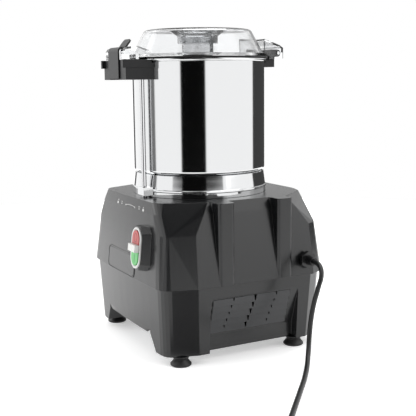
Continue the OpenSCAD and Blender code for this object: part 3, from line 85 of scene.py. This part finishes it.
def smooth(points, n):
    """A smooth curve through the points, with n steps between two of them."""
    out = []
    for i in range(len(points) - 1):
        a = points[max(i - 1, 0)]
        b, c = points[i], points[i + 1]
        d = points[min(i + 2, len(points) - 1)]
        for k in range(n):
            t = k / n
            out.append(0.5 * (2 * b + (c - a) * t + (2 * a - 5 * b + 4 * c - d) * t * t
                              + (3 * b - a - 3 * c + d) * t * t * t))
    return out + [points[-1]]


route = [Vector(p) / 1000 for p in ROUTE]
way = (route[-1] - route[-2]).normalized()
start_a = math.atan2(way.y, way.x) - math.pi / 2
coil_mid = COIL_TURNS / 2


def coil_r(t):
    return COIL_IN + COIL_PITCH * math.sqrt((t - coil_mid) ** 2 + COIL_SOFT ** 2)


def coil_z(t):
    """Height of the coil's line: it steps up to the second layer in half a turn."""
    half_turn = min(0.5, max(0, t - coil_mid + 0.25))
    return COIL_RISE * ((1 - math.cos(2 * math.pi * half_turn)) / 2)


centre = route[-1] + way * CORD_D - coil_r(0) * Vector((math.cos(start_a), math.sin(start_a), 0))


def coil_point(t):
    a = start_a + 2 * math.pi * t
    return centre + Vector((coil_r(t) * math.cos(a), coil_r(t) * math.sin(a), coil_z(t)))


stop_a = start_a + 2 * math.pi * COIL_TURNS
cord_path = smooth(route, ROUTE_STEPS)
cord_path += [coil_point(i / COIL_STEPS) for i in range(COIL_TURNS * COIL_STEPS + 1)]
cord_path.append(cord_path[-1] + Vector((-math.sin(stop_a), math.cos(stop_a), 0)) * COIL_TAIL)
for p in cord_path:
    p.z = max(p.z, CORD_D / 2)

# the bevel is 1 and the points carry the radius, so that the curve's box is the cord's
cord_curve = bpy.data.curves.new("cord_line", "CURVE")
cord_curve.dimensions = "3D"
cord_curve.bevel_depth = 1.0
cord_curve.bevel_resolution = 5
cord_curve.use_fill_caps = True
spline = cord_curve.splines.new("POLY")
spline.points.add(len(cord_path) - 1)
for point, p in zip(spline.points, cord_path):
    point.co = (p.x, p.y, p.z, 1)
    point.radius = CORD_D / 2
cord = bpy.data.objects.new("cord_line", cord_curve)
scene.collection.objects.link(cord)
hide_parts("mains_cord", "cord_coil")
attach(cord, "base")

# ---------------------------------------------------------------- materials
SOCKET = {"color": "Base Color", "rough": "Roughness", "metal": "Metallic", "ior": "IOR",
          "trans": "Transmission Weight", "spec": "Specular IOR Level",
          "glow": "Emission Strength", "glow_color": "Emission Color"}


def shader(name, **values):
    """A new material with these values on its shader's own sockets."""
    mat = bpy.data.materials.new(name)
    mat.use_nodes = True
    b = mat.node_tree.nodes["Principled BSDF"]
    for key, value in values.items():
        b.inputs[SOCKET[key]].default_value = value
    return mat, mat.node_tree, b


def noise(nt, scale, detail, stretch=None):
    """Noise in the piece's own space, finer along an axis by the share in stretch."""
    at = nt.nodes.new("ShaderNodeTexCoord").outputs["Object"]
    if stretch:
        mapping = nt.nodes.new("ShaderNodeMapping")
        mapping.inputs["Scale"].default_value = stretch
        nt.links.new(at, mapping.inputs["Vector"])
        at = mapping.outputs["Vector"]
    field = nt.nodes.new("ShaderNodeTexNoise")
    field.inputs["Scale"].default_value = scale
    field.inputs["Detail"].default_value = detail
    nt.links.new(at, field.inputs["Vector"])
    return field.outputs["Fac"]


def spread(nt, value, low, high):
    """A value of 0 to 1, mapped to low to high."""
    node = nt.nodes.new("ShaderNodeMapRange")
    node.inputs["To Min"].default_value = low
    node.inputs["To Max"].default_value = high
    nt.links.new(value, node.inputs["Value"])
    return node.outputs["Result"]


def mottle(nt, b, value, color, vary):
    """A base colour that drifts by the share vary."""
    tone = nt.nodes.new("ShaderNodeVectorMath")
    tone.operation = "SCALE"
    tone.inputs[0].default_value = color
    nt.links.new(spread(nt, value, 1 - vary, 1 + vary), tone.inputs["Scale"])
    nt.links.new(tone.outputs["Vector"], b.inputs["Base Color"])


def gloss(nt, b, value, rough, vary):
    """A roughness that drifts by the share vary."""
    drift = spread(nt, value, rough * (1 - vary), min(1, rough * (1 + vary)))
    nt.links.new(drift, b.inputs["Roughness"])


def relief(nt, b, height, strength, depth, edge=0.0):
    """Fine relief of this depth, over edges that are rounded by the radius edge."""
    bump = nt.nodes.new("ShaderNodeBump")
    bump.inputs["Strength"].default_value = strength
    bump.inputs["Distance"].default_value = depth
    nt.links.new(height, bump.inputs["Height"])
    if edge:
        bevel = nt.nodes.new("ShaderNodeBevel")
        bevel.samples = 6
        bevel.inputs["Radius"].default_value = edge
        nt.links.new(bevel.outputs["Normal"], bump.inputs["Normal"])
    nt.links.new(bump.outputs["Normal"], b.inputs["Normal"])


def plastic(name, color, rough, grain=900.0, bump=0.05, vary=0.12, edge=0.0009, spec=0.5):
    """Moulded plastic: fine spark-eroded grain, faint colour mottling, soft moulded edges."""
    mat, nt, b = shader(name, spec=spec, ior=1.5)
    fine = noise(nt, grain, 3)
    mottle(nt, b, noise(nt, 14, 4), color, vary)
    gloss(nt, b, fine, rough, 0.12)
    relief(nt, b, fine, bump, 0.0004, edge)
    return mat


def metal(name, color, rough, lines=(1, 1, 60), scale=30.0, bump=0.02, vary=0.04, edge=0.0003):
    """Metal with fine lines across the direction that has the largest number in lines."""
    mat, nt, b = shader(name, metal=1.0)
    grain = noise(nt, scale, 5, lines)
    mottle(nt, b, grain, color, vary)
    gloss(nt, b, grain, rough, 0.3)
    relief(nt, b, grain, bump, 0.0002, edge)
    return mat


def clear(name, color, rough):
    """Clear moulded plastic, very slightly wavy."""
    mat, nt, b = shader(name, color=color, trans=1.0, ior=1.46)
    wave = noise(nt, 9, 2)
    relief(nt, b, wave, 0.04, 0.002)
    gloss(nt, b, wave, rough, 0.4)
    return mat


# name: colour, roughness, what else differs
PLASTICS = {
    "shell": ((0.0075, 0.0078, 0.0084), 0.25, dict(vary=0.08, bump=0.035, edge=0.0014)),
    "rubber": ((0.004, 0.004, 0.0042), 0.5, dict(grain=500, bump=0.08)),
    "motor_paint": ((0.03, 0.035, 0.04), 0.4, {}),
    "black_plastic": ((0.005, 0.005, 0.0055), 0.26, {}),
    "white_plastic": ((0.55, 0.55, 0.54), 0.32, dict(vary=0.03, bump=0.02)),
    "lamp": ((0.6, 0.6, 0.58), 0.28, dict(vary=0.03, bump=0.02)),
    "red_plastic": ((0.42, 0.05, 0.045), 0.32, dict(vary=0.05, bump=0.02)),
    "green_plastic": ((0.07, 0.4, 0.1), 0.32, dict(vary=0.05, bump=0.02)),
    "vent": ((0.022, 0.023, 0.025), 0.32, dict(vary=0.06, bump=0.04, edge=0.0004)),
    "latch": ((0.007, 0.0072, 0.0078), 0.4, dict(vary=0.08, edge=0.0007, spec=0.28)),
    "badge": ((0.008, 0.0083, 0.009), 0.2, dict(vary=0.04, bump=0.02)),
    "red_mark": ((0.2, 0.015, 0.015), 0.35, dict(vary=0.04, bump=0.02)),
    "green_mark": ((0.02, 0.17, 0.035), 0.35, dict(vary=0.04, bump=0.02)),
    "cord_sheath": ((0.006, 0.006, 0.0065), 0.42, dict(grain=400, bump=0.06)),
}
METALS = {
    "plate": ((0.55, 0.56, 0.57), 0.35, {}),
    "fastener": ((0.6, 0.6, 0.61), 0.3, {}),
    "casting": ((0.6, 0.61, 0.62), 0.42, dict(lines=(1, 1, 1), scale=300, bump=0.1)),
    "core_steel": ((0.35, 0.35, 0.36), 0.5, dict(lines=(1, 1, 40), scale=60, bump=0.3)),
    "winding": ((0.62, 0.27, 0.1), 0.35, dict(lines=(1, 1, 30), scale=80, bump=0.4)),
    "steel": ((0.56, 0.565, 0.57), 0.2, {}),
    "blade_steel": ((0.74, 0.75, 0.76), 0.2, dict(lines=(1, 12, 1))),
    "bowl_steel": ((0.585, 0.59, 0.595), 0.07,
                   dict(lines=(1, 1, 90), scale=12, bump=0.006, vary=0.015)),
    "chrome_rod": ((0.62, 0.62, 0.63), 0.06, dict(lines=(1, 1, 1), bump=0.0, vary=0.01)),
    "brass": ((0.75, 0.56, 0.26), 0.25, {}),
}
M = {"clear_plastic": clear("clear_plastic", (0.8, 0.805, 0.81, 1), 0.05)}
for make, table in ((plastic, PLASTICS), (metal, METALS)):
    for name, (color, rough, more) in table.items():
        M[name] = make(name, color, rough, **more)

SLOT = {s["node"]: s["material_slot"] for s in frame["record"]["subparts"]}
# nodes whose finish differs from the rest of their slot
OWN = {"vent_panel_right": "vent", "vent_panel_left": "vent", "latch_lever": "latch",
       "latch_bracket": "latch", "hinge_bracket": "latch", "rod_guide": "bowl_steel"}
for name, obj in NODE.items():
    finish = M[OWN.get(name, SLOT[name])]
    if not obj.material_slots:
        obj.data.materials.append(finish)
    for place in obj.material_slots:
        place.material = finish
cord_curve.materials.append(M["cord_sheath"])


# ---------------------------------------------------------------- fine marks on the CAD faces
SKIN = 0.00003   # gap between a face and the mark on it
INK = 0.00008    # thickness of a printed mark


def new_object(name, bm, mat):
    mesh = bpy.data.meshes.new(name)
    bm.to_mesh(mesh)
    bm.free()
    mesh.materials.append(mat)
    obj = bpy.data.objects.new(name, mesh)
    scene.collection.objects.link(obj)
    return obj


def on_face(node, x, z, out):
    """The point of a CAD piece's front at (x, z), in metres, moved out along its normal."""
    _, at, normal, _ = NODE[node].ray_cast(Vector((x, -1, z)), Vector((0, 1, 0)))
    return at + normal * out


def strip(bm, a, b):
    """A closed strip of faces between two loops of as many points."""
    for i in range(len(a)):
        j = (i + 1) % len(a)
        bm.faces.new((a[i], a[j], b[j], b[i]))


def thin_piece(name, node, body, mat, shapes, thick):
    """A thin closed piece laid on a face. A shape is a loop, or a ring as a list of two."""
    bm = bmesh.new()
    for shape in shapes:
        loops = shape if isinstance(shape[0][0], tuple) else [shape]
        low = [[bm.verts.new(on_face(node, x, z, SKIN)) for x, z in lp] for lp in loops]
        top = [[bm.verts.new(on_face(node, x, z, SKIN + thick)) for x, z in lp] for lp in loops]
        for a, b in zip(low, top):
            strip(bm, a, b)
        for side in (top, low):
            if len(side) == 1:
                bm.faces.new(side[0])
            else:
                strip(bm, side[0], side[1])
    bmesh.ops.recalc_face_normals(bm, faces=bm.faces[:])
    piece = new_object(name, bm, mat)
    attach(piece, body)


def arc(cx, cz, rx, rz, angles):
    """Points on an ellipse round (cx, cz), at these angles in degrees."""
    return [(cx + rx * math.cos(math.radians(a)), cz + rz * math.sin(math.radians(a)))
            for a in angles]


def oval(cx, cz, rx, rz, n=32):
    return arc(cx, cz, rx, rz, [360 * i / n for i in range(n)])


def soft_box(x0, x1, z0, z1, rad, n=6):
    """An upright box with round corners."""
    out = []
    for cx, cz, a0 in ((x1 - rad, z1 - rad, 0), (x0 + rad, z1 - rad, 90),
                       (x0 + rad, z0 + rad, 180), (x1 - rad, z0 + rad, 270)):
        out += arc(cx, cz, rad, rad, [a0 + 90 * i / n for i in range(n + 1)])
    return out


def bow(cx, cz, rad, wide, a0, a1, n=14):
    """A bar bent along an arc, as one loop."""
    angles = [a0 + (a1 - a0) * i / n for i in range(n + 1)]
    outer, inner = rad + wide / 2, rad - wide / 2
    return arc(cx, cz, outer, outer, angles) + arc(cx, cz, inner, inner, angles[::-1])


def padlock(cx, cz, opened):
    """A generic padlock sign: body, and a shackle that is shut or swung up."""
    shift = 0.0011 if opened else 0
    return [soft_box(cx - 0.0026, cx + 0.0026, cz - 0.003, cz + 0.0004, 0.0005),
            bow(cx + shift, cz + 0.0008 + shift * 0.6, 0.0017, 0.0008, 0, 180)]


def bowl_sign(cx, cz):
    """A generic bowl sign: a cup under a short lid line."""
    return [bow(cx, cz + 0.0004, 0.0023, 0.0009, 180, 360),
            soft_box(cx - 0.003, cx + 0.003, cz + 0.0012, cz + 0.002, 0.0003)]


# open and shut signs along the front panel's top edge, joined by a flat arc with two arrow tips
SIGN_Z = 0.2148
OPEN_LOCK_X, OPEN_BOWL_X, SHUT_BOWL_X, SHUT_LOCK_X = -0.033, -0.017, 0.0475, 0.061
ARC_MID, ARC_HALF, ARC_R = 0.0155, 0.0165, 0.09
signs = padlock(OPEN_LOCK_X, SIGN_Z, True) + bowl_sign(OPEN_BOWL_X, SIGN_Z)
signs += bowl_sign(SHUT_BOWL_X, SIGN_Z) + padlock(SHUT_LOCK_X, SIGN_Z, False)
lean = math.degrees(math.asin(ARC_HALF / ARC_R))
signs.append(bow(ARC_MID, SIGN_Z + 0.0005 - ARC_R, ARC_R, 0.0008, 90 - lean, 90 + lean, 20))
for end in (-1, 1):
    tip = ARC_MID + end * (ARC_HALF + 0.0022)
    signs.append([(tip, SIGN_Z - 0.0016), (tip - end * 0.0036, SIGN_Z + 0.0008),
                  (tip - end * 0.0032, SIGN_Z - 0.0024)])
thin_piece("lock_signs", "upper_housing", "base", M["white_plastic"],
           signs, INK)

# the place of the word, left bare, and its rim: x from and to, z from and to, corner radius
BADGE = (-0.058, 0.041, 0.1135, 0.143, 0.006)
RIM_OUTER = (-0.0605, 0.0435, 0.1116, 0.1455, 0.0075)
RIM_INNER = (-0.0592, 0.0422, 0.1127, 0.1442, 0.0066)
BADGE_THICK, RIM_THICK = 0.0005, 0.0007
thin_piece("badge_place", "upper_housing", "base", M["badge"],
           [soft_box(*BADGE)], BADGE_THICK)
thin_piece("badge_rim", "upper_housing", "base", M["shell"],
           [[soft_box(*RIM_OUTER), soft_box(*RIM_INNER)]], RIM_THICK)

# ring on the stop button, bar on the start button
BUTTON_X = 0.07
STOP_Z, RING_RX, RING_RZ, RING_WIDE = 0.1772, 0.0056, 0.0068, 0.0012
START_Z, BAR_HALF_X, BAR_HALF_Z, BAR_ROUND = 0.1475, 0.0008, 0.006, 0.0007
thin_piece("stop_sign", "stop_button", "stop", M["red_mark"],
           [[oval(BUTTON_X, STOP_Z, RING_RX, RING_RZ),
             oval(BUTTON_X, STOP_Z, RING_RX - RING_WIDE, RING_RZ - RING_WIDE)]], INK)
thin_piece("start_sign", "start_button", "start", M["green_mark"],
           [soft_box(BUTTON_X - BAR_HALF_X, BUTTON_X + BAR_HALF_X,
                     START_Z - BAR_HALF_Z, START_Z + BAR_HALF_Z, BAR_ROUND)], INK)

# ---------------------------------------------------------------- floor
bm = bmesh.new()
bmesh.ops.create_circle(bm, cap_ends=True, segments=96, radius=1.5)
floor_mat = shader("floor", color=(0.9, 0.9, 0.9, 1), rough=0.8, spec=0.1, glow=0.4,
                   glow_color=(1, 1, 1, 1))[0]
new_object("floor", bm, floor_mat)

# grey card on the floor before the near corner, seen only as the dark reflection low on it
CARD_FOOT = Vector((0.14, -0.095, 0.0015))
CARD_A = math.radians(-6)
CARD_NEAR, CARD_FAR, CARD_HALF = 0.02, 0.4, 0.04
along = Vector((math.cos(CARD_A), math.sin(CARD_A), 0))
across = Vector((-along.y, along.x, 0)) * CARD_HALF
near_end, far_end = CARD_FOOT + along * CARD_NEAR, CARD_FOOT + along * CARD_FAR
bm = bmesh.new()
bm.faces.new([bm.verts.new(q) for q in (near_end - across, far_end - across * 2,
                                        far_end + across * 2, near_end + across)])
card = new_object("card", bm, shader("card", color=(0.22, 0.22, 0.22, 1), rough=1.0, spec=0.0)[0])
for sight in ("visible_camera", "visible_diffuse", "visible_transmission",
              "visible_volume_scatter", "visible_shadow"):
    setattr(card, sight, False)

# ---------------------------------------------------------------- studio
# walls and dark flags round the machine: (from, to, brightness), in degrees from +x
LOW_FLAGS = [(-122, -107, 0.11), (-57, -15, 0.002), (80, 143, 0.03)]
HIGH_FLAGS = [(-169, -124, 0.7), (-74, 14, 0.002), (20, 70, 0.95), (120, 170, 0.22)]
LOW_WALL, LOW_LEFT = 0.604, 0.036      # between the flags, and in the strip at the left, at -x
HIGH_WALL, HIGH_LEFT = 0.6, 0.45
CEILING = (0.57, 0.57, 0.57, 1)
LOW_TO_HIGH = (0.085, 0.115)           # sines of the elevations between which two zones blend
HIGH_TO_CEILING = (0.8, 0.97)
STUDIO = 2.4                           # brightness of the whole for all rays but the camera's
LEFT_FROM, LEFT_TO = 176, 172          # the strip at the left starts and is gone here

world = bpy.data.worlds.new("world")
scene.world = world
world.use_nodes = True
N, L = world.node_tree.nodes, world.node_tree.links
looking = N.new("ShaderNodeSeparateXYZ")
L.new(N.new("ShaderNodeTexCoord").outputs["Generated"], looking.inputs["Vector"])
turn = N.new("ShaderNodeMath")
turn.operation = "ARCTAN2"
L.new(looking.outputs["Y"], turn.inputs[0])
L.new(looking.outputs["X"], turn.inputs[1])
share = N.new("ShaderNodeMapRange")
share.inputs["From Min"].default_value = -math.pi
share.inputs["From Max"].default_value = math.pi
L.new(turn.outputs["Value"], share.inputs["Value"])


def grey(value):
    return (value, value, value, 1)


def ring_of_flags(flags, wall, left):
    """Brightness by direction round the machine."""
    node = N.new("ShaderNodeValToRGB")
    elements = node.color_ramp.elements
    for element, position in zip(elements, (0, 1)):
        element.position, element.color = position, grey(left)
    places = [(-LEFT_FROM, left), (-LEFT_TO, wall)]
    for start, stop, value in flags:
        places += [(start - 1, wall), (start + 1, value), (stop - 1, value), (stop + 1, wall)]
    places += [(LEFT_TO, wall), (LEFT_FROM, left)]
    for degrees, value in places:
        elements.new((degrees + 180) / 360).color = grey(value)
    L.new(share.outputs["Result"], node.inputs["Fac"])
    return node.outputs["Color"]


def mix(factor, a, b, kind="MIX"):
    """A mix of two colours. Each of the three is a socket or a value."""
    node = N.new("ShaderNodeMix")
    node.data_type = "RGBA"
    node.blend_type = kind
    for key, value in (("Factor", factor), ("A", a), ("B", b)):
        if isinstance(value, bpy.types.NodeSocket):
            L.new(value, node.inputs[key])
        else:
            node.inputs[key].default_value = value
    return node.outputs["Result"]


def blend_up(heights, low, high):
    """low under the first height, high over the second, blended between."""
    way_up = N.new("ShaderNodeMapRange")
    way_up.inputs["From Min"].default_value, way_up.inputs["From Max"].default_value = heights
    L.new(looking.outputs["Z"], way_up.inputs["Value"])
    return mix(way_up.outputs["Result"], low, high)


walls = blend_up(LOW_TO_HIGH, ring_of_flags(LOW_FLAGS, LOW_WALL, LOW_LEFT),
                 ring_of_flags(HIGH_FLAGS, HIGH_WALL, HIGH_LEFT))
lit = mix(1, blend_up(HIGH_TO_CEILING, walls, CEILING), grey(STUDIO), "MULTIPLY")
backdrop = mix(N.new("ShaderNodeLightPath").outputs["Is Camera Ray"], lit, grey(1))
L.new(backdrop, N["Background"].inputs["Color"])


def area(name, at, target, size, power):
    light = bpy.data.lights.new(name, "AREA")
    light.shape = "RECTANGLE"
    light.size, light.size_y = size
    light.energy = power
    obj = bpy.data.objects.new(name, light)
    scene.collection.objects.link(obj)
    obj.location = at
    obj.rotation_mode = "QUATERNION"
    obj.rotation_quaternion = (Vector(target) - Vector(at)).to_track_quat("-Z", "Y")


area("key", (-1.2, -1.6, 1.1), (0, 0, 0.15), (1.2, 1.0), 9)
area("top", (-0.3, 0.5, 2.2), (0, 0, 0.2), (1.4, 1.4), 14)
scene.view_settings.view_transform = "Standard"
